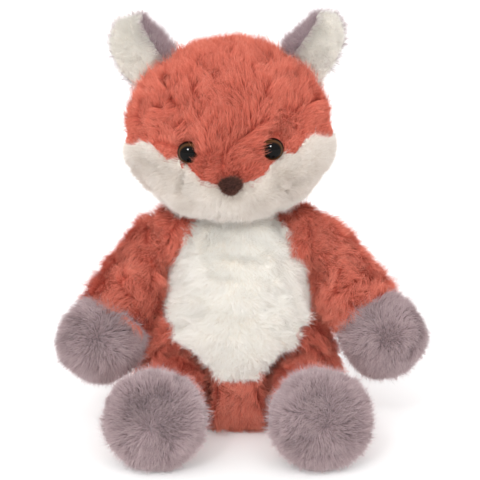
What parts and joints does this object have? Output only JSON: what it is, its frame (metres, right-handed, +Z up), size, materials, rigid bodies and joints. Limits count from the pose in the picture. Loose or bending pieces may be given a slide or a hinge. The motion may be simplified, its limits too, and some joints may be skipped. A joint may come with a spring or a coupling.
{
  "type": "plush fox toy",
  "caption": "Sitting plush fox with cream belly and cheeks, mauve paws and feet, limbs that flex at their seams, and a seat weighted with pellets.",
  "frame": {"origin": "on the plane the fox sits on, under the middle of the torso", "axes": "+Z up, the fox looks along -Y, and its own left side is +X"},
  "size_m": [0.2263, 0.2581, 0.2601],
  "materials": {
    "orange_plush": "orange long-pile plush, brushed into tufts",
    "cream_plush": "cream plush",
    "grey_plush": "mauve-grey plush",
    "brown_velour": "dark brown velour",
    "eye_plastic": "polished clear dome over a brown iris and a black pupil",
    "washer_plastic": "moulded",
    "fibre": "loose polyester fibre",
    "cotton": "woven cotton"
  },
  "bodies": {
    "torso": {"torso_cover": "orange_plush", "belly_panel": "cream_plush", "torso_filling": "fibre", "pellet_bag": "cotton"},
    "neck": {"neck_wad": "fibre"},
    "head": {"head_cover": "orange_plush", "cheek_panel": "cream_plush", "head_filling": "fibre", "eye_left": "eye_plastic", "eye_right": "eye_plastic", "eye_washer_left": "washer_plastic", "eye_washer_right": "washer_plastic", "nose_pad": "brown_velour"},
    "ear_left": {"ear_front_left": "cream_plush", "ear_back_left": "grey_plush"},
    "ear_right": {"ear_front_right": "cream_plush", "ear_back_right": "grey_plush"},
    "arm_left": {"arm_sleeve_left": "orange_plush", "paw_left": "grey_plush", "arm_filling_left": "fibre"},
    "leg_left": {"leg_sleeve_left": "orange_plush", "foot_left": "grey_plush", "sole_left": "grey_plush", "leg_filling_left": "fibre"},
    "arm_right": {"arm_sleeve_right": "orange_plush", "paw_right": "grey_plush", "arm_filling_right": "fibre"},
    "leg_right": {"leg_sleeve_right": "orange_plush", "foot_right": "grey_plush", "sole_right": "grey_plush", "leg_filling_right": "fibre"},
    "tail": {"tail_cover": "orange_plush", "tail_tip": "cream_plush", "tail_filling": "fibre"}
  },
  "joints": [
    {"name": "neck_turn", "type": "hinge", "parent": "torso", "child": "neck", "pos_m": [0, 0, 0.118], "axis": [0, 0, 1], "range_deg": [-30, 30], "stiffness_Nm_per_rad": 0.15},
    {"name": "head_nod", "type": "hinge", "parent": "neck", "child": "head", "pos_m": [0, 0, 0.118], "axis": [1, 0, 0], "range_deg": [-12, 15], "stiffness_Nm_per_rad": 0.8},
    {"name": "ear_fold_left", "type": "hinge", "parent": "head", "child": "ear_left", "pos_m": [0.03722, 0.004, 0.21057], "axis": [0.9212, 0.1928, -0.3379], "range_deg": [-18, 5], "stiffness_Nm_per_rad": 0.05},
    {"name": "ear_fold_right", "type": "hinge", "parent": "head", "child": "ear_right", "pos_m": [-0.04852, 0.004, 0.20712], "axis": [0.8912, -0.1928, 0.4107], "range_deg": [-18, 5], "stiffness_Nm_per_rad": 0.05},
    {"name": "tail_lift", "type": "hinge", "parent": "torso", "child": "tail", "pos_m": [0, 0.05, 0.024], "axis": [1, 0, 0], "range_deg": [0, 20], "stiffness_Nm_per_rad": 0.05},
    {"name": "shoulder_swing_left", "type": "hinge", "parent": "torso", "child": "arm_left", "pos_m": [0.05, 0.002, 0.11], "axis": [-1, 0, 0], "range_deg": [0, 80], "stiffness_Nm_per_rad": 0.08},
    {"name": "shoulder_swing_right", "type": "hinge", "parent": "torso", "child": "arm_right", "pos_m": [-0.05, 0.002, 0.11], "axis": [-1, 0, 0], "range_deg": [0, 80], "stiffness_Nm_per_rad": 0.08},
    {"name": "hip_lift_left", "type": "hinge", "parent": "torso", "child": "leg_left", "pos_m": [0.037, -0.038, 0.02973], "axis": [-0.9863, -0.165, 0], "range_deg": [-25, 5], "stiffness_Nm_per_rad": 0.3},
    {"name": "hip_lift_right", "type": "hinge", "parent": "torso", "child": "leg_right", "pos_m": [-0.037, -0.038, 0.02973], "axis": [-0.9863, 0.165, 0], "range_deg": [-25, 5], "stiffness_Nm_per_rad": 0.3}
  ]
}
